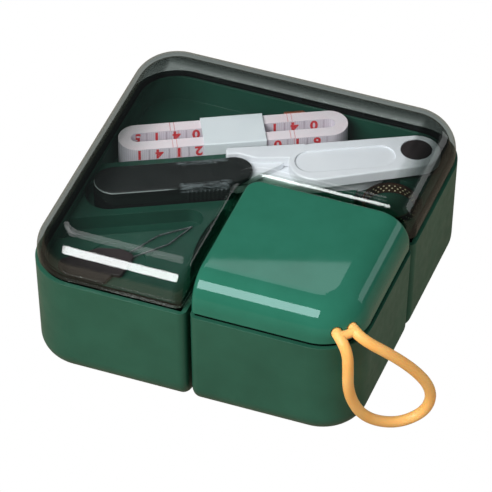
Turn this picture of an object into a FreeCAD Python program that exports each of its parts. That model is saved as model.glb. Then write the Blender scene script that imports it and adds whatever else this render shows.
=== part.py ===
import FreeCAD, Part
import math
import os

Vector = FreeCAD.Vector

# Sewing box with trays, in millimetres. +Z is up, and the origin is the centre of the
# footprint on the table. The front is -Y and the right side is +X.

# Whole box
BOX_WIDTH = 174.0
BOX_DEPTH = 174.0
BODY_HEIGHT = 60.0
LID_TOP = 82.0
CORNER_RADIUS = 25.0
BASE_FILLET = 12.0
BASE_DRAFT = 2.0
BODY_WALL = 2.4
FLOOR_THICKNESS = 2.6

# The cut that parts the small box from the L-shaped main box
SPLIT_X = 0.2
SPLIT_Y = -1.4
SPLIT_GAP = 2.0
SMALL_CORNER = 8.0
END_RADIUS = 5.0

# Lids
LID_EDGE = BODY_HEIGHT + 2.4
LID_INSET = 1.0
LID_CUT_INSET = 0.6
LID_WALL = 2.6
SHOULDER_RADIUS = 16.0
MAIN_LID_CUT_RADIUS = 6.0
SMALL_LID_CUT_RADIUS = 3.0
SKIRT_OUTER = 2.9
SKIRT_INNER = 4.2
SKIRT_OVERLAP = 1.6

# Seat of the trays in the bodies
LEDGE_TOP = 55.4
LEDGE_HEIGHT = 1.6
LEDGE_INNER = 4.0
LEDGE_ROOT = 2.2

# Trays
DECK_TOP = 57.2
FLANGE_INSET = 3.0
LIP_OUTER = 4.7
LIP_INNER = 5.9
LIP_TOP = 60.2
TRAY_WALL = 1.4
SKIRT_LIFT = 0.1

# Tools lie at one slant across the main tray
TOOL_ANGLE = 27.3

# Pockets of the main tray. "Along" and "across" are measured in the slanted frame.
TAPE_FLOOR = 45.8
TAPE_EDGE_ACROSS = 43.2
SNIPS_FLOOR = 51.4
SHEATH_END_ROOM = 4.2
THIN_FLOOR = 49.0
THIMBLE_FLOOR = 50.0
DISH_FLOOR = 56.7
NOTCH_FLOOR = 47.0

# Tape measure
TAPE_CENTRE = (-1.5, 54.5)
TAPE_LENGTH = 116.6
TAPE_WIDTH = 19.4
TAPE_PACK = 6.4
TAPE_BOTTOM = 47.0
TAPE_TOP = 62.8
BAND_LENGTH = 31.6
BAND_WALL = 0.8
BAND_CLEARANCE = 0.25

# Snips
PIVOT = (-3.0, 21.0)
PIVOT_RADIUS = 2.0
HANDLE_TOP = 67.0
HANDLE_BOTTOM = 61.0
LEVER_TOP = 60.3
LEVER_BOTTOM = 51.6
BLADE_THICKNESS = 1.2
LOWER_BLADE_BOTTOM = 57.9
UPPER_BLADE_BOTTOM = 59.3
BLADE_TIP = -60.0
RUNNING_GAP = 0.05
DISC_CENTRE = (87.4, 24.3)
DISC_RADIUS = 8.0
DISC_DEPTH = 0.4

# Sheath over the blades
SHEATH_END = -75.5
SHEATH_MOUTH = -8.0
SHEATH_ACROSS = 19.9
SHEATH_HALF = 10.5
SHEATH_BOTTOM = 51.6
SHEATH_TOP = 66.0
SHEATH_WALL = 1.4
TAB_RADIUS = 9.6
TAB_THICKNESS = 2.2

# Thimble
THIMBLE_CENTRE = (62.7, 32.2)
THIMBLE_RADIUS = 14.0
THIMBLE_HEIGHT = 6.0
THIMBLE_WALL = 0.9

# Needle threader
THREADER_DISH = (-47.4, -59.3, 14.6)
THREADER_ROOTS = ((-43.0, -51.8), (-40.4, -54.0))
THREADER_TIP = (-21.3, -23.2)
THREADER_WIDEST = 4.1
THREADER_THICKNESS = 1.8
WIRE_RADIUS = 0.35

# Carrying loop of the small lid
CORD_DIAMETER = 5.6
CORD_HOLE_CLEARANCE = 0.3
CORD_HEIGHT = 68.8
CORD_SPREAD = 4.0
RETAINER_FACE = 14.5
RETAINER_DEPTH = 3.0
RETAINER_HALF = 8.0
BRACKET_DEPTH = 2.0

HALF_W = BOX_WIDTH / 2
HALF_D = BOX_DEPTH / 2
FAR = 400.0
TOUCH = 0.001


# ---------------------------------------------------------------- outlines

def rounded_wire(points, radii, z):
    """Closed outline with a tangent arc of its own radius at each corner."""
    count = len(points)
    edges = []
    ends = []
    for i in range(count):
        corner = Vector(points[i][0], points[i][1], z)
        before = Vector(points[i - 1][0], points[i - 1][1], z) - corner
        after_point = points[(i + 1) % count]
        after = Vector(after_point[0], after_point[1], z) - corner
        before.normalize()
        after.normalize()
        half = before.getAngle(after) / 2
        setback = radii[i] / math.tan(half)
        bisector = before + after
        bisector.normalize()
        centre = corner + bisector * (radii[i] / math.sin(half))
        start = corner + before * setback
        stop = corner + after * setback
        ends.append((start, centre - bisector * radii[i], stop))
    for i in range(count):
        start, middle, stop = ends[i]
        following = ends[(i + 1) % count][0]
        edges.append(Part.Arc(start, middle, stop).toShape())
        if (following - stop).Length > TOUCH:
            edges.append(Part.LineSegment(stop, following).toShape())
    return Part.Wire(edges)


def prism(points, radii, z0, z1):
    face = Part.Face(rounded_wire(points, radii, z0))
    return face.extrude(Vector(0, 0, z1 - z0))


def main_outline(inset, cut_inset):
    """Corners and radii of the L-shaped box, clockwise faces moved in by the insets."""
    left = -HALF_W + inset
    right = HALF_W - inset
    front = -HALF_D + inset
    back = HALF_D - inset
    cut_x = SPLIT_X - SPLIT_GAP / 2 - cut_inset
    cut_y = SPLIT_Y + SPLIT_GAP / 2 + cut_inset
    outer = CORNER_RADIUS - inset
    end = max(END_RADIUS - cut_inset, 1.0)
    notch = SMALL_CORNER + SPLIT_GAP + cut_inset
    points = [(left, front), (cut_x, front), (cut_x, cut_y), (right, cut_y), (right, back), (left, back)]
    return points, [outer, end, notch, end, outer, outer]


def small_outline(inset, cut_inset):
    right = HALF_W - inset
    front = -HALF_D + inset
    cut_x = SPLIT_X + SPLIT_GAP / 2 + cut_inset
    cut_y = SPLIT_Y - SPLIT_GAP / 2 - cut_inset
    end = max(END_RADIUS - cut_inset, 1.0)
    inner = max(SMALL_CORNER - cut_inset, 1.0)
    points = [(cut_x, front), (right, front), (right, cut_y), (cut_x, cut_y)]
    return points, [end, CORNER_RADIUS - inset, end, inner]


def outline_prism(outline, inset, z0, z1):
    points, radii = outline(inset, inset)
    return prism(points, radii, z0, z1)


def outline_ring(outline, outer, inner, z0, z1):
    return outline_prism(outline, outer, z0, z1).cut(outline_prism(outline, inner, z0 - 1, z1 + 1))


def stadium(x0, x1, y, radius, z0, z1):
    """Slot shape along X whose round ends just reach x0 and x1."""
    points = [(x0, y - radius), (x1, y - radius), (x1, y + radius), (x0, y + radius)]
    return prism(points, [radius] * 4, z0, z1)


def cylinder(x, y, radius, z0, z1):
    return Part.makeCylinder(radius, z1 - z0, Vector(x, y, z0))


def box(x0, x1, y0, y1, z0, z1):
    return Part.makeBox(x1 - x0, y1 - y0, z1 - z0, Vector(x0, y0, z0))


def slanted(shape):
    """From the tools' own frame, along and across, to the box's frame."""
    turned = shape.copy()
    turned.rotate(Vector(0, 0, 0), Vector(0, 0, 1), TOOL_ANGLE)
    return turned


def joined(shapes):
    first = shapes[0]
    return first.fuse(shapes[1:]).removeSplitter() if len(shapes) > 1 else first


def solid_of(shape):
    solids = sorted(shape.Solids, key=lambda part: part.Volume)
    return solids[-1]


# ---------------------------------------------------------------- shells

def rectangle_wire(inset, radius, z):
    x = HALF_W - inset
    y = HALF_D - inset
    return rounded_wire([(-x, -y), (x, -y), (x, y), (-x, y)], [radius] * 4, z)


def tub(inset, floor, fillet):
    """Drafted square tub with a rounded base, still uncut."""
    low = rectangle_wire(inset + BASE_DRAFT, CORNER_RADIUS - inset - BASE_DRAFT, floor)
    high = rectangle_wire(inset, CORNER_RADIUS - inset, BODY_HEIGHT)
    solid = Part.makeLoft([low, high], True, True)
    base = [edge for edge in solid.Edges if edge.BoundBox.ZMax < floor + TOUCH]
    return solid.makeFillet(fillet, base)


def dome(inset, bottom, top, shoulder):
    """Pillow-topped square block that both lids are cut from."""
    face = Part.Face(rectangle_wire(inset, CORNER_RADIUS - inset, bottom))
    solid = face.extrude(Vector(0, 0, top - bottom))
    rim = [edge for edge in solid.Edges if edge.BoundBox.ZMin > top - TOUCH]
    return solid.makeFillet(shoulder, rim)


def notch_block(cut_inset, z0, z1):
    """The space that the main box leaves free for the small box."""
    x = SPLIT_X - SPLIT_GAP / 2 - cut_inset
    y = SPLIT_Y + SPLIT_GAP / 2 + cut_inset
    points = [(x, -FAR), (FAR, -FAR), (FAR, y), (x, y)]
    return prism(points, [1, 1, 1, SMALL_CORNER + SPLIT_GAP + cut_inset], z0, z1)


def small_block(cut_inset, z0, z1):
    x = SPLIT_X + SPLIT_GAP / 2 + cut_inset
    y = SPLIT_Y - SPLIT_GAP / 2 - cut_inset
    points = [(x, -FAR), (FAR, -FAR), (FAR, y), (x, y)]
    return prism(points, [1, 1, 1, max(SMALL_CORNER - cut_inset, 1.0)], z0, z1)


def main_piece(whole, cut_inset):
    return solid_of(whole.cut(notch_block(cut_inset, -FAR, FAR)))


def small_piece(whole, cut_inset):
    return solid_of(whole.common(small_block(cut_inset, -FAR, FAR)))


def round_cut_edges(piece, whole, block, open_z, radius):
    """Rounds the edges where the cut meets the outer faces, but not the open rim."""
    outer = whole.Shells[0]
    cutter = block.Shells[0]
    chain = []
    for edge in piece.Edges:
        limits = edge.BoundBox
        if abs(limits.ZMin - open_z) < TOUCH and abs(limits.ZMax - open_z) < TOUCH:
            continue
        middle = edge.valueAt((edge.FirstParameter + edge.LastParameter) / 2)
        probe = Part.Vertex(middle)
        if probe.distToShape(outer)[0] < TOUCH and probe.distToShape(cutter)[0] < TOUCH:
            chain.append(edge)
    return piece.makeFillet(radius, chain)


def body_shell(cut_piece, block_of, outline):
    whole = tub(0.0, 0.0, BASE_FILLET)
    block = block_of(0.0, -FAR, FAR)
    outside = round_cut_edges(cut_piece(whole, 0.0), whole, block, BODY_HEIGHT, END_RADIUS - 1)
    hollow = cut_piece(tub(BODY_WALL, FLOOR_THICKNESS, BASE_FILLET - BODY_WALL), BODY_WALL)
    ledge = outline_ring(outline, LEDGE_ROOT, LEDGE_INNER, LEDGE_TOP - LEDGE_HEIGHT, LEDGE_TOP)
    return outside.cut(hollow).fuse(ledge)


def lid_shell(cut_piece, block_of, outline, cut_radius):
    whole = dome(LID_INSET, LID_EDGE, LID_TOP, SHOULDER_RADIUS)
    block = block_of(LID_CUT_INSET, -FAR, FAR)
    outside = round_cut_edges(cut_piece(whole, LID_CUT_INSET), whole, block, LID_EDGE, cut_radius)
    room = dome(LID_INSET + LID_WALL, LID_EDGE - 1, LID_TOP - LID_WALL, SHOULDER_RADIUS - LID_WALL)
    hollow = cut_piece(room, LID_CUT_INSET + LID_WALL)
    if cut_radius > LID_WALL + 1:
        room_block = block_of(LID_CUT_INSET + LID_WALL, -FAR, FAR)
        hollow = round_cut_edges(hollow, room, room_block, LID_EDGE - 1, cut_radius - LID_WALL)
    skirt_bottom = DECK_TOP + SKIRT_LIFT
    skirt = outline_ring(outline, SKIRT_OUTER, SKIRT_INNER, skirt_bottom, LID_EDGE + SKIRT_OVERLAP)
    return outside.cut(hollow).fuse(skirt)


# ---------------------------------------------------------------- trays

def tray(outline, pockets):
    """A deck with a flange and a lip, and a thin cup under each pocket."""
    deck = outline_prism(outline, FLANGE_INSET, LEDGE_TOP, DECK_TOP)
    lip = outline_ring(outline, LIP_OUTER, LIP_INNER, DECK_TOP - 1, LIP_TOP)
    cups = [pocket(TRAY_WALL, floor - TRAY_WALL, DECK_TOP) for pocket, floor in pockets]
    holes = [pocket(0.0, floor, DECK_TOP + 1) for pocket, floor in pockets]
    solid = deck.fuse([lip] + cups)
    for hole in holes:
        solid = solid.cut(hole)
    return solid_of(solid)


def tape_pocket(grow, z0, z1):
    room = outline_prism(main_outline, LIP_INNER - grow, z0, z1)
    side = slanted(box(-FAR, FAR, TAPE_EDGE_ACROSS - grow, FAR, z0, z1))
    return room.common(side)


def snips_pocket(grow, z0, z1):
    end = SHEATH_END - SHEATH_END_ROOM - grow
    sheath = stadium(end, 12 + grow, SHEATH_ACROSS, SHEATH_HALF + 1.2 + grow, z0, z1)
    left = -10 - grow
    right = 80 + grow
    low = 8.5 - grow
    high = 37.5 + grow
    points = [(left, low), (right, low), (right, high), (left, high)]
    levers = prism(points, [5 + grow, 12 + grow, 12 + grow, 5 + grow], z0, z1)
    return slanted(joined([sheath, levers]))


def thin_pocket(grow, z0, z1):
    slot = slanted(stadium(-104, -23.2 + grow, -3.4, 7.1 + grow, z0, z1))
    return slot.common(outline_prism(main_outline, LIP_INNER - grow, z0, z1))


def dish(grow, z0, z1):
    """Shallow round dip under the needle threader."""
    x, y, radius = THREADER_DISH
    return cylinder(x, y, radius + grow, z0, z1)


def thimble_pocket(grow, z0, z1):
    x, y = THIMBLE_CENTRE
    return cylinder(x, y - 2, THIMBLE_RADIUS + 3.2 + grow, z0, z1)


def finger_notch(grow, z0, z1):
    """Long shallow bite beside the small box, by which the tray is lifted."""
    bite = cylinder(60.1, -27.5, 75.2 + grow, z0, z1)
    bite = bite.common(box(-FAR, FAR, -64 - grow, -4 + grow, z0, z1))
    return bite.common(outline_prism(main_outline, LIP_INNER - grow, z0, z1))


def main_tray():
    return tray(main_outline, [
        (tape_pocket, TAPE_FLOOR),
        (snips_pocket, SNIPS_FLOOR),
        (thin_pocket, THIN_FLOOR),
        (thimble_pocket, THIMBLE_FLOOR),
        (dish, DISH_FLOOR),
        (finger_notch, NOTCH_FLOOR),
    ])


def small_pocket(x0, x1, corner):
    front = -HALF_D + LIP_INNER + 1.5
    back = SPLIT_Y - SPLIT_GAP / 2 - LIP_INNER - 1.5

    def pocket(grow, z0, z1):
        points = [(x0 - grow, front - grow), (x1 + grow, front - grow),
                  (x1 + grow, back + grow), (x0 - grow, back + grow)]
        return prism(points, [5 + grow, corner + grow, 5 + grow, 5 + grow], z0, z1)

    return pocket


def small_tray():
    left = SPLIT_X + SPLIT_GAP / 2 + LIP_INNER + 1.5
    right = HALF_W - LIP_INNER - 1.5
    middle = (left + right) / 2
    return tray(small_outline, [
        (small_pocket(left, middle - 1.5, 5), TAPE_FLOOR),
        (small_pocket(middle + 1.5, right, CORNER_RADIUS - LIP_INNER - 1.5), TAPE_FLOOR),
    ])


# ---------------------------------------------------------------- tape measure

def tape_ribbon():
    along, across = TAPE_CENTRE
    start = along - TAPE_LENGTH / 2
    stop = along + TAPE_LENGTH / 2
    radius = TAPE_WIDTH / 2
    outer = stadium(start, stop, across, radius, TAPE_BOTTOM, TAPE_TOP)
    inner = stadium(start + TAPE_PACK, stop - TAPE_PACK, across, radius - TAPE_PACK,
                    TAPE_BOTTOM - 1, TAPE_TOP + 1)
    return slanted(outer.cut(inner))


def tape_band():
    along, across = TAPE_CENTRE
    half = TAPE_WIDTH / 2 + BAND_CLEARANCE
    x0 = along - BAND_LENGTH / 2
    x1 = along + BAND_LENGTH / 2
    z0 = TAPE_BOTTOM - BAND_CLEARANCE
    z1 = TAPE_TOP + BAND_CLEARANCE
    outer = box(x0, x1, across - half - BAND_WALL, across + half + BAND_WALL, z0 - BAND_WALL, z1 + BAND_WALL)
    corners = [edge for edge in outer.Edges if edge.BoundBox.XLength > BAND_LENGTH - 1]
    outer = outer.makeFillet(BAND_WALL * 0.8, corners)
    return slanted(outer.cut(box(x0 - 1, x1 + 1, across - half, across + half, z0, z1)))


def tape_tip():
    """Metal tip on the loose end, on the back of the wound tape."""
    along, across = TAPE_CENTRE
    back = across + TAPE_WIDTH / 2
    tip = box(along + 27, along + 38, back, back + 0.9, TAPE_BOTTOM, TAPE_TOP + 0.6)
    uprights = [edge for edge in tip.Edges if edge.BoundBox.YLength > 0.8 and edge.BoundBox.XMin > along + 37]
    return slanted(tip.makeFillet(1.5, uprights))


# ---------------------------------------------------------------- snips

def hull_of_circles(first, second, z0, z1):
    """Two circles (x, y, radius) and the outer tangents between them."""
    x0, y0, r0 = first
    x1, y1, r1 = second
    reach = math.hypot(x1 - x0, y1 - y0)
    heading = math.atan2(y1 - y0, x1 - x0)
    lean = math.acos((r0 - r1) / reach)
    sides = []
    for sign in (1, -1):
        turn = heading + sign * lean
        normal = Vector(math.cos(turn), math.sin(turn), 0)
        sides.append((Vector(x0, y0, z0) + normal * r0, Vector(x1, y1, z0) + normal * r1))
    ahead = Vector(math.cos(heading), math.sin(heading), 0)
    tail = Part.Arc(sides[1][0], Vector(x0, y0, z0) - ahead * r0, sides[0][0]).toShape()
    nose = Part.Arc(sides[0][1], Vector(x1, y1, z0) + ahead * r1, sides[1][1]).toShape()
    top = Part.LineSegment(sides[0][0], sides[0][1]).toShape()
    bottom = Part.LineSegment(sides[1][1], sides[1][0]).toShape()
    return Part.Face(Part.Wire([tail, top, nose, bottom])).extrude(Vector(0, 0, z1 - z0))


def top_edges(shape, z):
    return [edge for edge in shape.Edges if edge.BoundBox.ZMin > z - TOUCH]


def snips_handle():
    pad = hull_of_circles((36.8, 21.4, 14.1), (87.4, 23.5, 12.0), HANDLE_BOTTOM, HANDLE_TOP)
    arm_points = [(-7.5, 31.9), (-1.5, 31.9), (7, 27.2), (30, 25), (34, 35.6), (-7.5, 37)]
    arm = prism(arm_points, [0.8, 3, 8, 2, 2, 2], HANDLE_BOTTOM, HANDLE_TOP)
    neck_points = [(-7.3, 15.5), (2, 15.5), (20, 25), (26, 34), (-5, 34), (-7.3, 28)]
    neck = prism(neck_points, [4, 4, 4, 2, 1, 1], UPPER_BLADE_BOTTOM + BLADE_THICKNESS, 63.5)
    pad = pad.makeFillet(0.9, top_edges(pad, HANDLE_TOP))
    arm = arm.makeFillet(0.9, top_edges(arm, HANDLE_TOP))
    body = joined([pad, arm, neck])
    body = body.cut(stadium(25.6, 76.4, 21.5, 8.3, HANDLE_TOP - 0.9, HANDLE_TOP + 1))
    body = body.cut(cylinder(DISC_CENTRE[0], DISC_CENTRE[1], DISC_RADIUS, 0, FAR))
    body = body.cut(cylinder(PIVOT[0], PIVOT[1], PIVOT_RADIUS, 0, FAR))
    return slanted(solid_of(body))


def handle_disc():
    """Plug that fills the round hole at the handle's end and lies a little below its top."""
    top = HANDLE_TOP - DISC_DEPTH
    disc = cylinder(DISC_CENTRE[0], DISC_CENTRE[1], DISC_RADIUS, HANDLE_BOTTOM + DISC_DEPTH, top)
    return slanted(disc.makeFillet(0.3, top_edges(disc, top)))


def snips_lever():
    grip = [(3, 21.5), (12, 19.5), (24, 12), (42, 11.5), (60, 14), (73, 20), (66, 28.5), (27, 29), (3, 27)]
    plate = prism(grip, [1.5, 4, 5, 12, 10, 4, 7, 8, 2], LEVER_BOTTOM, LEVER_TOP)
    plate = plate.makeFillet(0.8, top_edges(plate, LEVER_TOP))
    neck_points = [(-7.3, 16.5), (8, 21), (8, 26.5), (-7.3, 26)]
    neck = prism(neck_points, [4, 1, 1, 4], LEVER_BOTTOM + 1, LOWER_BLADE_BOTTOM)
    body = joined([plate, neck])
    body = body.cut(cylinder(PIVOT[0], PIVOT[1], PIVOT_RADIUS + RUNNING_GAP, 0, FAR))
    return slanted(solid_of(body))


def blade(edge, back, edge_end, back_end, bottom):
    """Flat blade from behind the pivot to its tip, with its edge and its back at two sides."""
    x, y = PIVOT
    low = min(edge, back)
    high = max(edge, back)
    low_end, high_end = (edge_end, back_end) if edge < back else (back_end, edge_end)
    points = [(x + 5, y - 3.4), (x + 5, y + 3.4), (x - 10, high), (high_end, high),
              (low_end, low), (x - 10, low)]
    flat = prism(points, [1.5, 1.5, 5, 1.2, 1.2, 5], bottom, bottom + BLADE_THICKNESS)
    return slanted(flat.cut(cylinder(x, y, PIVOT_RADIUS + RUNNING_GAP, 0, FAR)))


def upper_blade():
    return blade(18.6, 24.8, BLADE_TIP, BLADE_TIP + 9, UPPER_BLADE_BOTTOM)


def lower_blade():
    return blade(23.2, 17.0, BLADE_TIP, BLADE_TIP + 9, LOWER_BLADE_BOTTOM)


def snips_pivot():
    x, y = PIVOT
    pin = cylinder(x, y, PIVOT_RADIUS, LEVER_BOTTOM + 1, 63.5)
    return slanted(pin)


def snips_sheath():
    low = SHEATH_ACROSS - SHEATH_HALF
    high = SHEATH_ACROSS + SHEATH_HALF
    points = [(SHEATH_END, low), (SHEATH_MOUTH, low), (SHEATH_MOUTH, high), (SHEATH_END, high)]
    body = prism(points, [SHEATH_HALF, 1.5, 1.5, SHEATH_HALF], SHEATH_BOTTOM, SHEATH_TOP)
    body = body.makeFillet(1.2, top_edges(body, SHEATH_TOP))
    inner = [(SHEATH_END + SHEATH_WALL, low + SHEATH_WALL), (SHEATH_MOUTH + 5, low + SHEATH_WALL),
             (SHEATH_MOUTH + 5, high - SHEATH_WALL), (SHEATH_END + SHEATH_WALL, high - SHEATH_WALL)]
    inner_end = SHEATH_HALF - SHEATH_WALL
    cavity = prism(inner, [inner_end, 1, 1, inner_end],
                   SHEATH_BOTTOM + SHEATH_WALL, SHEATH_TOP - TAB_THICKNESS)
    tab = hull_of_circles((SHEATH_MOUTH - 6, 20.6, 9.4), (SHEATH_MOUTH + 2.9, 21.2, TAB_RADIUS),
                          SHEATH_TOP - TAB_THICKNESS, SHEATH_TOP)
    body = body.cut(cavity).fuse(tab.makeFillet(0.8, top_edges(tab, SHEATH_TOP)))
    panel = [(-31, low + 2.4), (-12, low + 2.4), (-12, high - 2.4), (-31, high - 2.4)]
    body = body.cut(prism(panel, [1, 3, 3, 1], SHEATH_TOP - 0.5, SHEATH_TOP + 1))
    ribs = [cylinder(-29.0 + 2.1 * i, low, 0.5, SHEATH_BOTTOM + 2, SHEATH_TOP - 2) for i in range(10)]
    ridges = [box(-5.5 + 2.4 * i, -4.4 + 2.4 * i, 19, 25.5, SHEATH_TOP - 0.4, SHEATH_TOP + 0.35)
              for i in range(3)]
    body = body.fuse(ribs + ridges)
    return slanted(solid_of(body.cut(cylinder(-63.0, 21.0, 2.0, SHEATH_TOP - 1.5, FAR))))


def sheath_pin():
    pin = cylinder(-63.0, 21.0, 2.0, SHEATH_TOP - 1.5, SHEATH_TOP + 0.5)
    pin = pin.makeFillet(0.5, top_edges(pin, SHEATH_TOP + 0.5))
    return slanted(pin.cut(box(-65.5, -60.5, 20.65, 21.35, SHEATH_TOP + 0.1, FAR)))


# ---------------------------------------------------------------- small tools

def thimble():
    """Open ring thimble with a rolled rim at both ends."""
    x, y = THIMBLE_CENTRE
    z0 = THIMBLE_FLOOR + 0.1
    z1 = z0 + THIMBLE_HEIGHT
    radius = THIMBLE_RADIUS - 0.4
    inner = radius - THIMBLE_WALL
    wall = cylinder(x, y, radius, z0, z1).cut(cylinder(x, y, inner, z0 - 1, z1 + 1))
    roll = 0.6
    rims = [Part.makeTorus(radius - THIMBLE_WALL / 2, roll, Vector(x, y, z)) for z in (z0 + roll, z1 - roll)]
    return joined([wall] + rims)


def threader_plate():
    """Flat handle with one round end, lying on the deck in the front left corner."""
    outline = [(-76.0, -71.5), (-58.5, -54.5), (-47.0, -51.0), (-39.6, -53.5), (-40.5, -69.6),
               (-44.8, -70.4), (-46.2, -77.4), (-66.0, -78.0)]
    radii = [5, 5, 5, 3, 2, 0.8, 2, 9]
    bottom = DECK_TOP + 0.1
    plate = prism(outline, radii, bottom, bottom + THREADER_THICKNESS)
    plate = plate.makeFillet(0.5, top_edges(plate, bottom + THREADER_THICKNESS))
    return plate.cut(threader_wire())


def wire_piece(start, stop):
    rod = Part.makeCylinder(WIRE_RADIUS, (stop - start).Length, start, stop - start)
    return rod.fuse(Part.makeSphere(WIRE_RADIUS, stop))


def threader_wire():
    """Long diamond of fine wire from the handle's round end to the tip."""
    z = DECK_TOP + 0.1 + THREADER_THICKNESS / 2
    first, second = [Vector(x, y, z) for x, y in THREADER_ROOTS]
    tip = Vector(THREADER_TIP[0], THREADER_TIP[1], z)
    middle = (first + second) * 0.5
    heading = tip - middle
    heading.normalize()
    side = Vector(-heading.y, heading.x, 0)
    widest = middle + heading * 19
    corners = [first, widest + side * THREADER_WIDEST, tip, widest - side * THREADER_WIDEST, second]
    corners[0] = first - heading * 1.0
    corners[-1] = second - heading * 1.0
    return joined([wire_piece(corners[i], corners[i + 1]) for i in range(4)])


# ---------------------------------------------------------------- carrying loop

def corner_point(outward, sideways, z):
    """Place near the front right corner: outward along its diagonal, sideways along its curve."""
    half_root = math.sqrt(0.5)
    x = HALF_W - CORNER_RADIUS + (outward + sideways) * half_root
    y = -HALF_D + CORNER_RADIUS + (sideways - outward) * half_root
    return Vector(x, y, z)


def corner_block(out0, out1, half, z0, z1):
    """Block square to the corner's diagonal."""
    corners = [(out0, -half), (out1, -half), (out1, half), (out0, half)]
    points = [corner_point(outward, sideways, z0) for outward, sideways in corners]
    face = Part.Face(Part.makePolygon(points + points[:1]))
    return face.extrude(Vector(0, 0, z1 - z0))


# Route of the loop: outward, sideways and height, from one hole round to the other
CORD_ROUTE = [
    (RETAINER_FACE, -CORD_SPREAD, CORD_HEIGHT),
    (26.4, -CORD_SPREAD, CORD_HEIGHT),
    (32.4, -2.6, 62.4),
    (33.6, -2.8, 52.4),
    (32.8, -2.4, 40.8),
    (31.4, 0.8, 28.6),
    (30.4, 6.8, 16.6),
    (30.0, 16.4, 7.6),
    (31.0, 28.2, 3.6),
    (33.6, 38.8, 8.4),
    (35.6, 41.8, 18.4),
    (36.6, 39.2, 29.4),
    (36.6, 32.4, 40.6),
    (36.0, 24.0, 50.8),
    (34.8, 15.6, 59.2),
    (31.8, 8.0, 65.4),
    (26.4, CORD_SPREAD, CORD_HEIGHT),
    (RETAINER_FACE, CORD_SPREAD, CORD_HEIGHT),
]
ARC_SHARE = 0.45


def cord_route():
    return [corner_point(outward, sideways, z) for outward, sideways, z in CORD_ROUTE]


def cord_wire(points):
    """Straight runs joined by tangent arcs, each as large as its two runs allow."""
    edges = []
    last = points[0]
    for i in range(1, len(points) - 1):
        corner = points[i]
        before = points[i - 1] - corner
        after = points[i + 1] - corner
        setback = ARC_SHARE * min(before.Length, after.Length)
        before.normalize()
        after.normalize()
        half_turn = (math.pi - before.getAngle(after)) / 2
        radius = setback / math.tan(half_turn)
        bisector = before + after
        bisector.normalize()
        centre = corner + bisector * (radius / math.cos(half_turn))
        start = corner + before * setback
        stop = corner + after * setback
        print("loop bend %d: radius %.1f mm" % (i, radius))
        edges.append(Part.LineSegment(last, start).toShape())
        edges.append(Part.Arc(start, centre - bisector * radius, stop).toShape())
        last = stop
    edges.append(Part.LineSegment(last, points[-1]).toShape())
    return Part.Wire(edges)


def loop_cord():
    path = cord_wire(cord_route())
    first = path.Edges[0]
    heading = first.tangentAt(first.FirstParameter)
    section = Part.Wire(Part.makeCircle(CORD_DIAMETER / 2, first.valueAt(first.FirstParameter), heading))
    tube = path.makePipeShell([section], True, False)
    area = math.pi * CORD_DIAMETER ** 2 / 4
    print("loop length %.1f mm, volume %.0f mm3, section x length %.0f mm3"
          % (path.Length, tube.Volume, area * path.Length))
    return tube


def cord_hole(sideways):
    start = corner_point(RETAINER_FACE, sideways, CORD_HEIGHT)
    outward = corner_point(1, 0, 0) - corner_point(0, 0, 0)
    return Part.makeCylinder(CORD_DIAMETER / 2 + CORD_HOLE_CLEARANCE, 20, start, outward)


def strap_retainer():
    low = CORD_HEIGHT - 4.6
    return corner_block(RETAINER_FACE - RETAINER_DEPTH, RETAINER_FACE, RETAINER_HALF, low, low + 8.4)


def small_lid():
    shell = lid_shell(small_piece, small_block, small_outline, SMALL_LID_CUT_RADIUS)
    back = RETAINER_FACE - RETAINER_DEPTH
    bracket = corner_block(back - BRACKET_DEPTH, back, RETAINER_HALF, CORD_HEIGHT - 6, LID_TOP - LID_WALL / 2)
    shell = shell.fuse(bracket)
    return solid_of(shell.cut([cord_hole(CORD_SPREAD), cord_hole(-CORD_SPREAD)]))


PARTS = {
    "main_body": lambda: solid_of(body_shell(main_piece, notch_block, main_outline)),
    "main_tray": main_tray,
    "main_lid": lambda: solid_of(lid_shell(main_piece, notch_block, main_outline, MAIN_LID_CUT_RADIUS)),
    "small_body": lambda: solid_of(body_shell(small_piece, small_block, small_outline)),
    "small_tray": small_tray,
    "small_lid": small_lid,
    "loop_cord": loop_cord,
    "loop_retainer": strap_retainer,
    "tape_ribbon": tape_ribbon,
    "tape_band": tape_band,
    "tape_tip": tape_tip,
    "snips_handle": snips_handle,
    "handle_disc": handle_disc,
    "snips_lever": snips_lever,
    "snips_upper_blade": upper_blade,
    "snips_lower_blade": lower_blade,
    "snips_pivot": snips_pivot,
    "snips_sheath": snips_sheath,
    "sheath_pin": sheath_pin,
    "thimble_ring": thimble,
    "threader_plate": threader_plate,
    "threader_wire": threader_wire,
}


def main():
    os.makedirs("parts", exist_ok=True)
    for name, make in PARTS.items():
        shape = make()
        limits = shape.BoundBox
        print("%-18s valid %s, solids %d, volume %.0f, z %.1f to %.1f"
              % (name, shape.isValid(), len(shape.Solids), shape.Volume, limits.ZMin, limits.ZMax))
        shape.exportStep("parts/%s.step" % name)


main()
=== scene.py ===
import math
import bpy
from mathutils import Matrix, Vector


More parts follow.
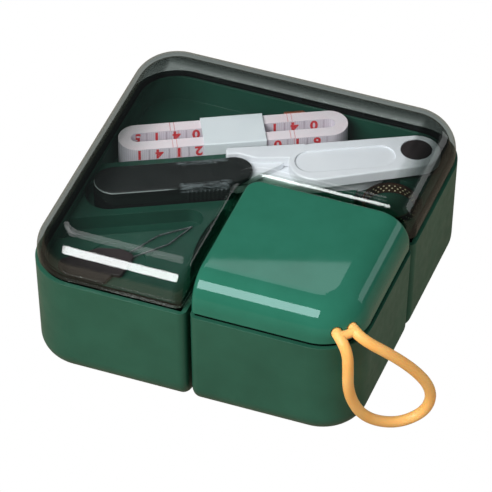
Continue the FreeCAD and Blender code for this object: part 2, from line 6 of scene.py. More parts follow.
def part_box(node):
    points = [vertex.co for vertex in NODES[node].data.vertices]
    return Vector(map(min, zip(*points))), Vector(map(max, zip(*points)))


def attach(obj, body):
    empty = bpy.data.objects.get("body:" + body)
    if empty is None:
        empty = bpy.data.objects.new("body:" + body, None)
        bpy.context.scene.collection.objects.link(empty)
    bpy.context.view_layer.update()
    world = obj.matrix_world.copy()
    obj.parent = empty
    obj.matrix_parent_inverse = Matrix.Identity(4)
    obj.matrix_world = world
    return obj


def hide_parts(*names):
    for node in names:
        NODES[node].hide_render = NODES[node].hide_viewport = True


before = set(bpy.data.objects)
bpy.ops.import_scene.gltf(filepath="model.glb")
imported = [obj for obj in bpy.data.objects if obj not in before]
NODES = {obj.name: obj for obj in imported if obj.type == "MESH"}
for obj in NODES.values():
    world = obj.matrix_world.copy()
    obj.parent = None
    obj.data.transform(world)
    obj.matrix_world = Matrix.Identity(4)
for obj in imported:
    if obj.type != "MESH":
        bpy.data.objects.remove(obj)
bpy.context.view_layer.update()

MM = 0.001
TOOL_ANGLE = math.radians(27.3)
SHARP_ANGLE = math.radians(32)


# ---------------------------------------------------------------- camera

AZIMUTH = math.radians(20.603)
ELEVATION = math.radians(41.824)
DISTANCE = 2.35484
TARGET = Vector((0, 0, 0.030))
SIDE_STEP = -0.0014
UP_STEP = 0.00206
SENSOR = 36.0
FOCAL = 344.3


def camera_axes():
    """Right, up and back directions of the camera."""
    level = math.cos(ELEVATION)
    back = Vector((math.sin(AZIMUTH) * level, -math.cos(AZIMUTH) * level, math.sin(ELEVATION)))
    right = Vector((math.cos(AZIMUTH), math.sin(AZIMUTH), 0))
    return right, back.cross(right), back


def add_camera():
    """Long lens at the picture's angle, with its middle a little off the target."""
    right, up, back = camera_axes()
    data = bpy.data.cameras.new("camera")
    data.sensor_width = SENSOR
    data.lens = FOCAL
    data.clip_end = 20
    camera = bpy.data.objects.new("camera", data)
    bpy.context.scene.collection.objects.link(camera)
    place = TARGET + back * DISTANCE + right * SIDE_STEP + up * UP_STEP
    turn = Matrix((right, up, back)).transposed().to_4x4()
    camera.matrix_world = Matrix.Translation(place) @ turn
    bpy.context.scene.camera = camera


add_camera()


# ---------------------------------------------------------------- material helpers

def linear(rgb):
    """Linear colour from 0 to 255 screen values."""
    out = []
    for value in rgb:
        v = value / 255
        out.append(v / 12.92 if v <= 0.04045 else ((v + 0.055) / 1.055) ** 2.4)
    return (*out, 1.0)


class Nodes:
    """One material's node tree, with a short call for each step of building it."""

    def __init__(self, name):
        self.material = bpy.data.materials.new(name)
        self.material.use_nodes = True
        self.tree = self.material.node_tree
        self.tree.nodes.clear()
        self.out = self.tree.nodes.new("ShaderNodeOutputMaterial")

    def add(self, kind, **values):
        node = self.tree.nodes.new(kind)
        for key, value in values.items():
            setattr(node, key, value)
        return node

    def link(self, source, target):
        self.tree.links.new(source, target)

    def feed(self, socket, value):
        if hasattr(value, "is_output"):
            self.link(value, socket)
        else:
            socket.default_value = value

    def math(self, operation, a, b=0.0, clamp=False):
        node = self.add("ShaderNodeMath", operation=operation, use_clamp=clamp)
        self.feed(node.inputs[0], a)
        self.feed(node.inputs[1], b)
        return node.outputs[0]

    def object_place(self, angle=0.0):
        """Object coordinates, turned about Z so that X runs at that angle."""
        place = self.add("ShaderNodeTexCoord").outputs["Object"]
        if not angle:
            return place
        turn = self.add("ShaderNodeMapping")
        turn.inputs["Rotation"].default_value = (0, 0, -angle)
        self.link(place, turn.inputs["Vector"])
        return turn.outputs[0]

    def split(self, vector):
        node = self.add("ShaderNodeSeparateXYZ")
        self.link(vector, node.inputs[0])
        return node.outputs

    def noise(self, place, scale, detail=3.0, roughness=0.55):
        node = self.add("ShaderNodeTexNoise")
        node.inputs["Scale"].default_value = scale
        node.inputs["Detail"].default_value = detail
        node.inputs["Roughness"].default_value = roughness
        self.link(place, node.inputs["Vector"])
        return node.outputs["Fac"]

    def remap(self, value, low, high, new_low=0.0, new_high=1.0, smooth=False):
        node = self.add("ShaderNodeMapRange", interpolation_type="SMOOTHSTEP" if smooth else "LINEAR")
        self.feed(node.inputs["Value"], value)
        node.inputs["From Min"].default_value = low
        node.inputs["From Max"].default_value = high
        node.inputs["To Min"].default_value = new_low
        node.inputs["To Max"].default_value = new_high
        return node.outputs["Result"]

    def mix(self, factor, a, b):
        node = self.add("ShaderNodeMix", data_type="RGBA")
        self.feed(node.inputs["Factor"], factor)
        self.feed(node.inputs["A"], a)
        self.feed(node.inputs["B"], b)
        return node.outputs["Result"]

    def rounded(self, radius):
        """Normal that rounds sharp edges a little."""
        node = self.add("ShaderNodeBevel", samples=6)
        node.inputs["Radius"].default_value = radius
        return node.outputs[0]

    def bump(self, height, strength, distance, normal=None):
        node = self.add("ShaderNodeBump")
        node.inputs["Strength"].default_value = strength
        node.inputs["Distance"].default_value = distance
        self.link(height, node.inputs["Height"])
        if normal is not None:
            self.link(normal, node.inputs["Normal"])
        return node.outputs[0]

    def principled(self, color, roughness, normal=None, **constants):
        """Main surface shader. Constants are its other sockets, with _ for each space."""
        node = self.add("ShaderNodeBsdfPrincipled")
        self.feed(node.inputs["Base Color"], color)
        self.feed(node.inputs["Roughness"], roughness)
        if normal is not None:
            self.link(normal, node.inputs["Normal"])
        for key, value in constants.items():
            self.feed(node.inputs[key.replace("_", " ")], value)
        return node.outputs[0]

    def finish(self, shader):
        self.link(shader, self.out.inputs["Surface"])
        return self.material


def moulded(name, color, shade, rough, grain=0.05, edge=0.0004, level=0.5, seam=None, glint=(1, 1, 1)):
    """Moulded plastic: slow colour variation, a fine grain and softly broken edges.

    Below the height of the seam it is painted dark, as painted shade for the gap under the lid's edge. The
    glint tints its reflections.
    """
    n = Nodes(name)
    place = n.object_place()
    tone = n.remap(n.noise(place, 45, 4), 0.35, 0.68)
    base = n.mix(tone, linear(color), linear(shade))
    # Painted shade: below the seam the colour is darkened to stand for the shadow in the gap under the lid
    if seam is not None:
        below = n.remap(n.split(place)[2], seam - 0.2 * MM, seam, 1.0, 0.0)
        base = n.mix(below, base, linear(SEAM_SHADE))
    roughness = n.remap(n.noise(place, 160, 4), 0.3, 0.7, rough[0], rough[1])
    normal = n.bump(n.noise(place, 1500, 2), grain, 0.12 * MM, n.rounded(edge))
    surface = {"Specular_IOR_Level": level, "Specular_Tint": (*glint, 1)}
    return n.finish(n.principled(base, roughness, normal, **surface))


def paint(node_name, material):
    """Give a CAD node its one material."""
    target = NODES[node_name]
    target.data.materials.clear()
    target.data.materials.append(material)


def smooth(node_name):
    """Smooth shading, with edges sharper than the limit kept."""
    mesh = NODES[node_name].data
    mesh.polygons.foreach_set("use_smooth", [True] * len(mesh.polygons))
    mesh.set_sharp_from_angle(angle=SHARP_ANGLE)


# ---------------------------------------------------------------- plastics

# Lower edge of both lids, and the painted shade given to what lies below it inside the gap
LID_EDGE = 62.4 * MM
SEAM_SHADE = (12, 24, 19)

GREEN = moulded("green_satin", (38, 88, 70), (33, 80, 63), (0.36, 0.46), grain=0.08, level=0.35)
TRAY = moulded("green_tray", (26, 74, 59), (22, 67, 53), (0.34, 0.45), grain=0.08, level=0.3)
# The small lid's part below its lower edge gets that painted gap shade
GREEN_GLOSS = moulded("green_gloss", (42, 108, 88), (38, 102, 82), (0.015, 0.03), grain=0.0, level=0.36,
                      seam=LID_EDGE, glint=(0.72, 0.97, 1.0))
WHITE = moulded("white_plastic", (240, 242, 246), (233, 236, 241), (0.30, 0.40), grain=0.03, level=0.4)
BAND = moulded("white_sleeve", (236, 242, 245), (229, 236, 240), (0.38, 0.5), grain=0.03, level=0.35)
BLACK = moulded("black_plastic", (22, 25, 25), (17, 20, 20), (0.12, 0.2), grain=0.0, edge=0.0007, level=0.5)
BROWN = moulded("brown_plastic", (47, 36, 37), (36, 27, 28), (0.45, 0.6), grain=0.1)


# ---------------------------------------------------------------- other materials

# How far the edges of small metal pieces are rounded
SMALL_EDGE = 0.2 * MM


def steel():
    """Steel brushed along the tools' slant."""
    n = Nodes("brushed_steel")
    place = n.object_place(TOOL_ANGLE)
    stretch = n.add("ShaderNodeMapping")
    stretch.inputs["Scale"].default_value = (60, 2500, 2500)
    n.link(place, stretch.inputs["Vector"])
    grain = n.noise(stretch.outputs[0], 1.0, 3)
    color = n.mix(grain, linear((150, 152, 155)), linear((205, 207, 210)))
    roughness = n.remap(grain, 0.3, 0.7, 0.22, 0.38)
    normal = n.bump(grain, 0.15, 0.05 * MM, n.rounded(SMALL_EDGE))
    return n.finish(n.principled(color, roughness, normal, Metallic=1.0))


# The sheath's grip, measured along and across the tools' slant
GRIP_START = -31 * MM
GRIP_END = -10 * MM
SHEATH_MIDDLE = 20.5 * MM
SHEATH_SHOULDER = 62.5 * MM


def sheath_plastic():
    """Gloss black, rougher in streaks along the grip's edges on top, where a silvery grey is painted as
    sheen, and with a pale painted highlight line on the front edge.
    """
    n = Nodes("sheath_plastic")
    place = n.object_place()
    slanted = n.object_place(TOOL_ANGLE)
    u, v, z = n.split(slanted)
    after_start = n.remap(u, GRIP_START - 3 * MM, GRIP_START, smooth=True)
    before_end = n.remap(u, GRIP_END, GRIP_END + 4 * MM, 1.0, 0.0, smooth=True)
    off_middle = n.math("ABSOLUTE", n.math("SUBTRACT", v, SHEATH_MIDDLE))
    edges = n.remap(off_middle, 6.2 * MM, 8.0 * MM, smooth=True)
    upper = n.remap(z, SHEATH_SHOULDER, SHEATH_SHOULDER + 1.5 * MM, smooth=True)
    stretch = n.add("ShaderNodeMapping")
    stretch.inputs["Scale"].default_value = (120, 900, 900)
    n.link(slanted, stretch.inputs["Vector"])
    grip_streaks = n.remap(n.noise(stretch.outputs[0], 1.0, 5, 0.7), 0.40, 0.66)
    on_grip = n.math("MULTIPLY", n.math("MULTIPLY", after_start, before_end), edges)
    # The grip streaks are rougher, and their silvery grey colour is painted sheen
    rough_grip_and_sheen = n.math("MULTIPLY", on_grip, n.math("MULTIPLY", upper, grip_streaks))
    tilt = n.split(n.add("ShaderNodeNewGeometry").outputs["Normal"])[2]
    # Painted highlight: a pale line along the front fillet before the grip
    on_fillet = n.remap(n.math("ABSOLUTE", n.math("SUBTRACT", tilt, 0.7)), 0.10, 0.22, 1.0, 0.0)
    in_front = n.remap(v, SHEATH_MIDDLE, SHEATH_MIDDLE + 2 * MM, 1.0, 0.0)
    before_grip = n.remap(u, GRIP_START - 9 * MM, GRIP_START - 3 * MM, 1.0, 0.0)
    painted_highlight_line = n.math("MULTIPLY", on_fillet, n.math("MULTIPLY", in_front, before_grip))
    base = n.mix(n.remap(n.noise(place, 60, 3), 0.3, 0.7), linear((19, 25, 23)), linear((14, 19, 17)))
    color = n.mix(rough_grip_and_sheen, base, linear((112, 122, 124)))
    color = n.mix(n.math("MULTIPLY", painted_highlight_line, 0.7), color, linear((150, 160, 158)))
    polish = n.remap(n.noise(place, 160, 4), 0.3, 0.7, 0.12, 0.2)
    roughness = n.math("ADD", n.math("MULTIPLY", rough_grip_and_sheen, 0.25), polish)
    return n.finish(n.principled(color, roughness, n.rounded(0.7 * MM), Specular_IOR_Level=0.4))


def copper_tip():
    """Coppery metal of the tape's end."""
    n = Nodes("copper_tip")
    place = n.object_place()
    grain = n.noise(place, 900, 4)
    color = n.mix(grain, linear((150, 92, 66)), linear((186, 122, 92)))
    roughness = n.remap(grain, 0.3, 0.7, 0.25, 0.4)
    return n.finish(n.principled(color, roughness, n.rounded(SMALL_EDGE), Metallic=0.8))


# Where the clear lid's tint is darkened as painted shade, in its own coordinates
BACK_SHADE = (20 * MM, 70 * MM)
SIDE_SHADE = (60 * MM, 82 * MM)
NOTCH_SIDE = (-9 * MM, -5 * MM)
NOTCH_BACK = (4 * MM, 8 * MM)
RIM_SHADE = (-19 * MM, -16.5 * MM)


def smoky_clear():
    """Clear tinted plastic with painted shade in its tint. It passes less light where the wall stands up
    than on the flat top, and less again at the back and sides and where the top meets them there; the notch
    walls are a darker green, and below the lid's lower edge it is dark.
    """
    n = Nodes("smoky_clear")
    place = n.object_place()
    x, y, z = n.split(place)
    aside = n.math("ABSOLUTE", x)
    at_back = n.remap(y, *BACK_SHADE, smooth=True)
    outer = n.math("MAXIMUM", at_back, n.remap(aside, *SIDE_SHADE, smooth=True))
    # How much passes follows the slope, over a narrower range of slopes at the back and sides. This is
    # painted shade on the upright walls.
    upright = n.math("ABSOLUTE", n.split(n.add("ShaderNodeNewGeometry").outputs["Normal"])[2])
    clouds = n.remap(n.noise(place, 12, 3), 0.3, 0.7, -0.004, 0.004)
    least = n.remap(outer, 0.0, 1.0, 0.15, 0.90)
    span = n.remap(outer, 0.0, 1.0, 0.83, 0.0995)
    above_least = n.math("SUBTRACT", n.math("ADD", upright, clouds), least)
    passed = n.math("DIVIDE", above_least, span, clamp=True)
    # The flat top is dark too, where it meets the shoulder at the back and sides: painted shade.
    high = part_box("main_lid")[1]
    from_edge = n.math("MAXIMUM", n.math("SUBTRACT", y, high.y), n.math("SUBTRACT", aside, high.x))
    rim = n.math("MULTIPLY", n.remap(from_edge, *RIM_SHADE), outer)
    passed = n.math("MULTIPLY", passed, n.math("SUBTRACT", 1.0, rim))
    # Painted shade: the walls' tint is darker at the back and sides
    wall = n.mix(outer, linear((232, 236, 234)), linear((178, 183, 181)))
    # Painted shade: the notch walls are tinted a darker green
    right_of_side = n.remap(x, *NOTCH_SIDE, smooth=True)
    before_back = n.remap(y, *NOTCH_BACK, 1.0, 0.0, smooth=True)
    wall = n.mix(n.math("MULTIPLY", right_of_side, before_back), wall, linear((168, 194, 180)))
    tint = n.mix(passed, wall, linear((251, 252, 252)))
    # Painted shade: below the lid's lower edge it is dark, for the gap
    skirt = n.remap(z, LID_EDGE - 0.2 * MM, LID_EDGE, 1.0, 0.0)
    tint = n.mix(skirt, tint, linear((96, 104, 100)))
    through = n.add("ShaderNodeBsdfTransparent")
    n.link(tint, through.inputs["Color"])
    polish = n.remap(n.noise(place, 40, 2), 0.3, 0.7, 0.02, 0.03)
    mirror = n.principled(linear((245, 247, 247)), polish, Metallic=1.0)
    facing = n.add("ShaderNodeLayerWeight")
    facing.inputs["Blend"].default_value = 0.5
    grazing = n.math("POWER", facing.outputs["Facing"], 5.0)
    share = n.add("ShaderNodeMixShader")
    n.link(n.math("ADD", n.math("MULTIPLY", grazing, 0.6), 0.046, clamp=True), share.inputs[0])
    n.link(through.outputs[0], share.inputs[1])
    n.link(mirror, share.inputs[2])
    return n.finish(share.outputs[0])


def silicone():
    """Soft orange rubber that lets a little light in."""
    n = Nodes("orange_silicone")
    place = n.object_place()
    tone = n.remap(n.noise(place, 60, 3), 0.3, 0.7)
    color = n.mix(tone, linear((253, 184, 100)), linear((255, 196, 118)))
    roughness = n.remap(n.noise(place, 250, 3), 0.3, 0.7, 0.38, 0.5)
    normal = n.bump(n.noise(place, 2500, 2), 0.06, 0.1 * MM)
    surface = {"Subsurface_Weight": 0.25, "Subsurface_Scale": 2 * MM, "Specular_IOR_Level": 0.35}
    return n.finish(n.principled(color, roughness, normal, **surface))


# Dimples of the thimble, between its two rolled rims
DIMPLE_ROWS = 3.0
DIMPLES_ROUND = 28
RIM_HEIGHT = 0.7 * MM


def dimpled_brass():
    """Aged brass with rows of dimples set out by angle and height, each painted bright cream as a
    highlight.
    """
    low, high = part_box("thimble_ring")
    centre = (low + high) / 2
    n = Nodes("dimpled_brass")
    x, y, z = n.split(n.object_place())
    across = n.math("SUBTRACT", x, centre.x)
    along = n.math("SUBTRACT", y, centre.y)
    turn = n.math("MULTIPLY", n.math("ARCTAN2", along, across), DIMPLES_ROUND / (2 * math.pi))
    pitch = (high.z - low.z - 2 * RIM_HEIGHT) / DIMPLE_ROWS
    level = n.math("DIVIDE", n.math("SUBTRACT", z, low.z + RIM_HEIGHT), pitch)
    shift = n.math("MULTIPLY", n.math("FLOOR", level), 0.5)
    cell = n.math("SUBTRACT", n.math("FRACT", n.math("ADD", turn, shift)), 0.5)
    row = n.math("SUBTRACT", n.math("FRACT", level), 0.5)
    reach = n.math("SQRT", n.math("ADD", n.math("POWER", n.math("MULTIPLY", cell, 1.55), 2.0),
                                  n.math("POWER", row, 2.0)))
    inside = n.math("MULTIPLY", n.math("GREATER_THAN", level, 0.0), n.math("LESS_THAN", level, DIMPLE_ROWS))
    dot = n.math("MULTIPLY", n.remap(reach, 0.20, 0.30, 1.0, 0.0, smooth=True), inside)
    patina = n.noise(n.object_place(), 260, 4)
    metal = n.mix(patina, linear((52, 32, 27)), linear((96, 66, 40)))
    # Painted highlight: each dimple is coloured bright cream and is not metallic
    color = n.mix(dot, metal, linear((255, 236, 190)))
    roughness = n.remap(dot, 0.0, 1.0, 0.38, 0.55)
    shiny = n.remap(dot, 0.0, 1.0, 0.7, 0.0)
    normal = n.bump(n.math("MULTIPLY", dot, -1.0), 0.6, 0.2 * MM, n.rounded(SMALL_EDGE))
    return n.finish(n.principled(color, roughness, normal, Metallic=shiny))


# ---------------------------------------------------------------- measuring tape

# The wound tape, along and across the tools' slant
TAPE_MIDDLE = (-1.5 * MM, 54.5 * MM)
TAPE_HALF = 58.3 * MM
TAPE_RADIUS = 9.7 * MM
TAPE_PACK = 6.4 * MM
TAPE_TURN = 0.45 * MM
BAND_HALF = 15.8 * MM

# Its print
TAPE_STEP = 10 * MM
DIGIT_HEIGHT = 5.4 * MM
DIGIT_BELOW_TOP = 3.2 * MM
DIGIT_OFFSET = 0.05
# A font's capitals are this much smaller than its size
FONT_SIZE = 1.45
# Steps from the tape's origin that carry a number, all clear of the sleeve at rest
NUMBER_STEPS = (-5, -4, -3, -2, 2, 3, 4)
REAR_NUMBERS = "5140140"
FRONT_NUMBERS = "1412016"
LINE_WIDTH = 0.22 * MM
LINE_REACH = 50 * MM
LINE_BELOW_TOP = 0.4 * MM
RED_LINE_WIDTH = 0.16 * MM
RED_PAIRS = (-30 * MM, 29.3 * MM)
PAIR_HALF = 1 * MM
TOP_LINES = (-32.9 * MM, -30.8 * MM, 26.8 * MM, 28.9 * MM)
TOP_LINE_WIDTH = 0.18 * MM
INK_HEIGHT = 0.06 * MM


def printed_tape():
    """Pale woven tape: windings on the upper edge, fine marks on the standing faces."""
    n = Nodes("printed_tape")
    u, v, z = n.split(n.object_place(TOOL_ANGLE))
    along = n.math("SUBTRACT", u, TAPE_MIDDLE[0])
    across = n.math("SUBTRACT", v, TAPE_MIDDLE[1])
    past = n.math("MAXIMUM", n.math("SUBTRACT", n.math("ABSOLUTE", along), TAPE_HALF - TAPE_RADIUS), 0.0)
    reach = n.math("SQRT", n.math("ADD", n.math("POWER", past, 2.0), n.math("POWER", across, 2.0)))
    wound = n.math("SINE", n.math("MULTIPLY", reach, 2 * math.pi / TAPE_TURN))
    normal = n.add("ShaderNodeNewGeometry").outputs["Normal"]
    top = n.math("GREATER_THAN", n.math("ABSOLUTE", n.split(normal)[2]), 0.5)
    cloud = n.noise(n.object_place(), 90, 3)
    edge = n.mix(n.remap(wound, -1, 1, 0.0, 0.35), linear((247, 240, 244)), linear((238, 214, 222)))
    edge = n.mix(n.remap(cloud, 0.4, 0.7, 0.0, 0.5), edge, linear((250, 226, 232)))
    marks = n.math("ABSOLUTE", n.math("SUBTRACT", n.math("FRACT", n.math("DIVIDE", u, MM)), 0.5))
    fine = n.remap(marks, 0.10, 0.22, 0.22, 0.0)
    face = n.mix(n.remap(cloud, 0.35, 0.7), linear((222, 216, 226)), linear((236, 226, 234)))
    face = n.mix(fine, face, linear((150, 120, 140)))
    color = n.mix(top, face, edge)
    rough = n.remap(n.noise(n.object_place(), 700, 3), 0.3, 0.7, 0.5, 0.7)
    height = n.math("ADD", n.math("MULTIPLY", wound, top), n.noise(n.object_place(), 3000, 2))
    return n.finish(n.principled(color, rough, n.bump(height, 0.25, 0.1 * MM), Specular_IOR_Level=0.3))


def ink(name, dark, light):
    """Printed ink, a little cloudy."""
    n = Nodes(name)
    cloud = n.noise(n.object_place(), 1400, 3)
    color = n.mix(n.remap(cloud, 0.35, 0.65), linear(dark), linear(light))
    return n.finish(n.principled(color, n.remap(cloud, 0.3, 0.7, 0.5, 0.65), Specular_IOR_Level=0.2))


def tool_point(u, v, z):
    """From along and across the tools' slant, to the box's frame."""
    return Vector((u * math.cos(TOOL_ANGLE) - v * math.sin(TOOL_ANGLE),
                   u * math.sin(TOOL_ANGLE) + v * math.cos(TOOL_ANGLE), z))


def join_meshes(name, parts, material):
    """One object from several (verts, faces) lists."""
    verts = []
    faces = []
    for part_verts, part_faces in parts:
        start = len(verts)
        verts.extend(part_verts)
        faces.extend([tuple(start + i for i in face) for face in part_faces])
    mesh = bpy.data.meshes.new(name)
    mesh.from_pydata([tuple(v) for v in verts], [], faces)
    mesh.update()
    obj = bpy.data.objects.new(name, mesh)
    bpy.context.scene.collection.objects.link(obj)
    obj.data.materials.append(material)
    return obj


def block(corners_low, corners_high):
    """Closed box between two loops of four corners."""
    verts = list(corners_low) + list(corners_high)
    faces = [(3, 2, 1, 0), (4, 5, 6, 7)]
    faces += [(i, (i + 1) % 4, 4 + (i + 1) % 4, 4 + i) for i in range(4)]
    return verts, faces


def wall_mark(u, v, z0, z1, width, depth):
    """Thin raised mark on a wall that faces the front; depth stands out of it."""
    low = [tool_point(u - width / 2, v, z0), tool_point(u + width / 2, v, z0),
           tool_point(u + width / 2, v, z1), tool_point(u - width / 2, v, z1)]
    high = [tool_point(u - width / 2, v - depth, z0), tool_point(u + width / 2, v - depth, z0),
            tool_point(u + width / 2, v - depth, z1), tool_point(u - width / 2, v - depth, z1)]
    return block(high, low)


def digit(text, u, v, z, height, depth):
    """A number standing on its head on a wall that faces the front."""
    curve = bpy.data.curves.new("digit", "FONT")
    curve.body = text
    curve.size = height * FONT_SIZE
    curve.extrude = depth / 2
    curve.resolution_u = 3
    curve.align_x = "CENTER"
    curve.align_y = "CENTER"
    curve.offset = height * DIGIT_OFFSET
    helper = bpy.data.objects.new("digit", curve)
    bpy.context.scene.collection.objects.link(helper)
    bpy.context.view_layer.update()
    mesh = bpy.data.meshes.new_from_object(helper.evaluated_get(bpy.context.evaluated_depsgraph_get()))
    right = Vector((math.cos(TOOL_ANGLE), math.sin(TOOL_ANGLE), 0))
    out = Vector((math.sin(TOOL_ANGLE), -math.cos(TOOL_ANGLE), 0))
    turn = Matrix((-right, Vector((0, 0, -1)), out)).transposed().to_4x4()
    mesh.transform(Matrix.Translation(tool_point(u, v - depth / 2, z)) @ turn)
    verts = [vert.co.copy() for vert in mesh.vertices]
    faces = [tuple(face.vertices) for face in mesh.polygons]
    bpy.data.objects.remove(helper)
    bpy.data.meshes.remove(mesh)
    return verts, faces


def tape_prints():
    """Red numbers and lines, and grey centimetre lines, as thin raised pieces on the tape."""
    low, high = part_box("tape_ribbon")
    inner = TAPE_MIDDLE[1] + TAPE_RADIUS - TAPE_PACK
    outer = TAPE_MIDDLE[1] - TAPE_RADIUS
    bottom = low.z + 1 * MM
    top = high.z
    reds = []
    greys = []
    for wall, numbers in ((inner, REAR_NUMBERS), (outer, FRONT_NUMBERS)):
        for step, number in zip(NUMBER_STEPS, numbers):
            u = step * TAPE_STEP
            reds.append(digit(number, u, wall, top - DIGIT_BELOW_TOP, DIGIT_HEIGHT, INK_HEIGHT))
            # A line on each side of the number. Neighbours both draw the one between them.
            for line in (u - TAPE_STEP / 2, u + TAPE_STEP / 2):
                if abs(line - TAPE_MIDDLE[0]) > BAND_HALF and abs(line) < LINE_REACH:
                    line_top = top - LINE_BELOW_TOP
                    greys.append(wall_mark(line, wall, bottom, line_top, LINE_WIDTH, INK_HEIGHT))
    for u in RED_PAIRS:
        for wall in (inner, outer):
            for line in (u - PAIR_HALF, u + PAIR_HALF):
                reds.append(wall_mark(line, wall, bottom, top, RED_LINE_WIDTH, INK_HEIGHT))
    for u in TOP_LINES:
        for v0, v1 in ((outer, outer + TAPE_PACK), (inner, TAPE_MIDDLE[1] + TAPE_RADIUS)):
            left = u - TOP_LINE_WIDTH / 2
            right = u + TOP_LINE_WIDTH / 2
            foot = [tool_point(left, v0, top), tool_point(right, v0, top),
                    tool_point(right, v1, top), tool_point(left, v1, top)]
            reds.append(block(foot, [point + Vector((0, 0, INK_HEIGHT)) for point in foot]))
    red = join_meshes("tape_red_marks", reds, ink("red_ink", (205, 40, 48), (226, 84, 88)))
    grey = join_meshes("tape_grey_marks", greys, ink("grey_ink", (150, 120, 145), (185, 160, 178)))
    for marks in (red, grey):
        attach(marks, "tape")


# ---------------------------------------------------------------- carrying loop

# Centre of the small lid's rounded front right corner
CORNER = Vector((62 * MM, -62 * MM, 0))
CORD_DIAMETER = 5.6 * MM
# Outward from the corner, sideways and up, in millimetres, from one hole round to the other
CORD_ROUTE = [
    (14.5, -4.0, 68.8),
    (26.4, -4.0, 68.8),
    (32.4, -2.6, 62.4),
    (33.6, -2.8, 52.4),
    (32.8, -2.4, 40.8),
    (31.4, 0.8, 28.6),
    (30.4, 6.8, 16.6),
    (30.0, 16.4, 7.6),
    (31.0, 28.2, 3.6),
    (33.6, 38.8, 8.4),
    (35.6, 41.8, 18.4),
    (36.6, 39.2, 29.4),
    (36.6, 32.4, 40.6),
    (36.0, 24.0, 50.8),
    (34.8, 15.6, 59.2),
    (31.8, 8.0, 65.4),
    (26.4, 4.0, 68.8),
    (14.5, 4.0, 68.8),
]

# The bridge between the loop's two ends: the same three, and its thickness as a share of the loop's
NECK_ROUTE = [
    (25.3, -4.0, 68.4, 0.90),
    (25.4, -1.6, 68.1, 0.80),
    (25.4, 1.6, 68.1, 0.80),
    (25.3, 4.0, 68.4, 0.90),
]


def corner_point(outward_mm, sideways_mm, up_mm):
    """Point measured from the corner's centre, straight out of the corner, sideways and up."""
    outward = Vector((1, -1, 0)).normalized()
    sideways = Vector((1, 1, 0)).normalized()
    return CORNER + outward * (outward_mm * MM) + sideways * (sideways_mm * MM) + Vector((0, 0, up_mm * MM))


def silicone_curve(name, route, shares, material):
    """Round orange strand along a smooth route."""
    curve = bpy.data.curves.new(name, "CURVE")
    curve.dimensions = "3D"
    curve.bevel_depth = CORD_DIAMETER / 2
    curve.bevel_resolution = 8
    curve.use_fill_caps = True
    curve.resolution_u = 10
    spline = curve.splines.new("NURBS")
    spline.points.add(len(route) - 1)
    for point, place, share in zip(spline.points, route, shares):
        point.co = (*place, 1)
        point.radius = share
    spline.order_u = 3
    spline.use_endpoint_u = True
    strand = bpy.data.objects.new(name, curve)
    bpy.context.scene.collection.objects.link(strand)
    curve.materials.append(material)
    return strand


def add_loop():
    """The loop in place of the CAD cord, and the bridge that joins its ends at the lid."""
    route = [corner_point(*place) for place in CORD_ROUTE]
    orange = silicone()
    loop = silicone_curve("carrying_loop", route, [1.0] * len(route), orange)
    neck_route = [corner_point(*place[:3]) for place in NECK_ROUTE]
    neck = silicone_curve("loop_neck", neck_route, [place[3] for place in NECK_ROUTE], orange)
    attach(neck, "small_lid")
    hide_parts("loop_cord")
    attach(loop, "small_lid")


# ---------------------------------------------------------------- dress the frame

STEEL = steel()
CLEAR = smoky_clear()
FINISHES = {
    "main_body": GREEN,
    "main_tray": TRAY,
    "main_lid": CLEAR,
    "small_body": GREEN,
    "small_tray": TRAY,
    "small_lid": GREEN_GLOSS,
    "loop_retainer": TRAY,
    "tape_ribbon": printed_tape(),
    "tape_band": BAND,
    "tape_tip": copper_tip(),
    "snips_handle": WHITE,
    "handle_disc": BROWN,
    "snips_lever": WHITE,
    "snips_upper_blade": STEEL,
    "snips_lower_blade": STEEL,
    "snips_pivot": STEEL,
    "snips_sheath": sheath_plastic(),
    "sheath_pin": BLACK,
    "thimble_ring": dimpled_brass(),
    "threader_plate": BROWN,
    "threader_wire": STEEL,
}
for node_name, finish in FINISHES.items():
    paint(node_name, finish)
    smooth(node_name)
tape_prints()
add_loop()


# ---------------------------------------------------------------- floor and light

FLOOR_REACH = 6.0


def add_floor():
    """White to the camera, and a dim warm grey to the light that it sends on."""
    mesh = bpy.data.meshes.new("floor")
    corners = [(a * FLOOR_REACH, b * FLOOR_REACH, 0) for a, b in ((-1, -1), (1, -1), (1, 1), (-1, 1))]
    mesh.from_pydata(corners, [], [(0, 1, 2, 3)])
    floor = bpy.data.objects.new("floor", mesh)
    bpy.context.scene.collection.objects.link(floor)
    n = Nodes("pale_floor")
    cloud = n.noise(n.object_place(), 3, 2)
    dim = n.add("ShaderNodeBsdfDiffuse")
    n.link(n.mix(cloud, (0.18, 0.155, 0.125, 1), (0.20, 0.175, 0.14, 1)), dim.inputs["Color"])
    glow = n.add("ShaderNodeEmission")
    glow.inputs["Color"].default_value = (0.17, 0.14, 0.10, 1)
    warm = n.add("ShaderNodeAddShader")
    n.link(dim.outputs[0], warm.inputs[0])
    n.link(glow.outputs[0], warm.inputs[1])
    white = n.add("ShaderNodeEmission")
    seen = n.add("ShaderNodeMixShader")
    n.link(n.add("ShaderNodeLightPath").outputs["Is Camera Ray"], seen.inputs[0])
    n.link(warm.outputs[0], seen.inputs[1])
    n.link(white.outputs[0], seen.inputs[2])
    mesh.materials.append(n.finish(seen.outputs[0]))


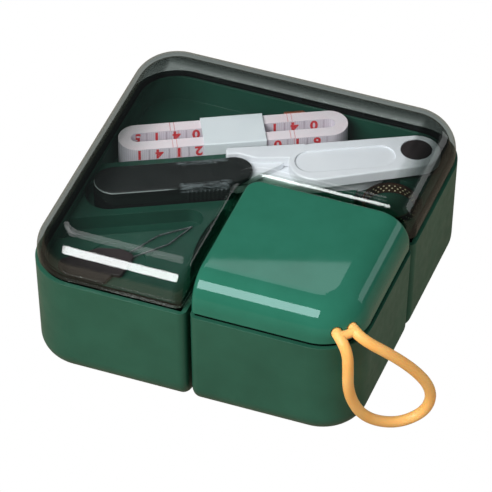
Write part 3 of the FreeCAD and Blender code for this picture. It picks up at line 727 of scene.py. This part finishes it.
def area_light(name, place, facing, size, radiance, level=None):
    """Rectangular light at a place, facing a point. Its first side lies level, or along level."""
    data = bpy.data.lights.new(name, "AREA")
    data.shape = "RECTANGLE"
    data.size, data.size_y = size
    data.energy = radiance * math.pi * size[0] * size[1]
    lamp = bpy.data.objects.new(name, data)
    bpy.context.scene.collection.objects.link(lamp)
    back = (place - facing).normalized()
    side = Vector(level).normalized() if level else Vector((0, 0, 1)).cross(back).normalized()
    side = (side - back * side.dot(back)).normalized()
    up = back.cross(side)
    turn = Matrix((side, up, back)).transposed().to_4x4()
    lamp.matrix_world = Matrix.Translation(place) @ turn
    return lamp


def mirror_of(view, normal):
    """Direction that a face with this normal mirrors towards the viewer."""
    normal = Vector(normal).normalized()
    return normal * (2 * normal.dot(view)) - view


KEY_DISTANCE = 1.2
KEY_SIZE = (0.95, 0.58)
KEY_RADIANCE = 11.5
REAR_DISTANCE = 1.6
REAR_SIZE = (0.6, 0.5)
REAR_RADIANCE = 2.0
# How far the rear panel's lower edge and right edge lie from the direction that the flat tops mirror
REAR_LOWER_EDGE = 0.0556
REAR_RIGHT_EDGE = 0.092
EDGE_PANEL_SIZE = (0.7, 0.32)
EDGE_PANEL_RADIANCE = 1.5
FILL_DIRECTION = Vector((0.907, -0.140, 0.397))
FILL_DISTANCE = 1.6
FILL_SIZE = (1.5, 1.2)
FILL_RADIANCE = 1.25


def add_lights():
    """Soft panels, each where a face of the lids mirrors it towards the camera, and a side fill."""
    right, up, back = camera_axes()
    middle = Vector((0, 0, 0.06))
    front_edge = mirror_of(back, (0, -1, 1))
    area_light("key_softbox", middle + front_edge * KEY_DISTANCE, middle, KEY_SIZE,
               KEY_RADIANCE, level=(1, 0, 0))
    flat = mirror_of(back, (0, 0, 1))
    panel_up = flat.cross(right)
    panel_up = panel_up if panel_up.z > 0 else -panel_up
    centre = middle + flat * REAR_DISTANCE
    centre += panel_up * (REAR_LOWER_EDGE + REAR_SIZE[1] / 2) + right * (REAR_RIGHT_EDGE - REAR_SIZE[0] / 2)
    area_light("rear_panel", centre, middle, REAR_SIZE, REAR_RADIANCE, level=right)
    side_edge = mirror_of(back, (1, 0, 1))
    area_light("edge_panel", middle + side_edge * KEY_DISTANCE, middle, EDGE_PANEL_SIZE,
               EDGE_PANEL_RADIANCE, level=(0, 1, 0))
    beside = middle + FILL_DIRECTION * FILL_DISTANCE
    fill = area_light("side_fill", beside, middle, FILL_SIZE, FILL_RADIANCE)
    fill.visible_glossy = False


def add_world():
    """White behind the object, and a dim cool grey to the light that it sends on."""
    world = bpy.data.worlds.new("studio")
    world.use_nodes = True
    tree = world.node_tree
    dim = tree.nodes["Background"]
    dim.inputs["Color"].default_value = (0.9, 0.97, 1.0, 1)
    dim.inputs["Strength"].default_value = 0.10
    white = tree.nodes.new("ShaderNodeBackground")
    white.inputs["Color"].default_value = (1, 1, 1, 1)
    white.inputs["Strength"].default_value = 1.0
    seen = tree.nodes.new("ShaderNodeMixShader")
    path = tree.nodes.new("ShaderNodeLightPath")
    tree.links.new(path.outputs["Is Camera Ray"], seen.inputs[0])
    tree.links.new(dim.outputs[0], seen.inputs[1])
    tree.links.new(white.outputs[0], seen.inputs[2])
    tree.links.new(seen.outputs[0], tree.nodes["World Output"].inputs[0])
    bpy.context.scene.world = world
    bpy.context.scene.view_settings.view_transform = "Standard"


add_floor()
add_lights()
add_world()
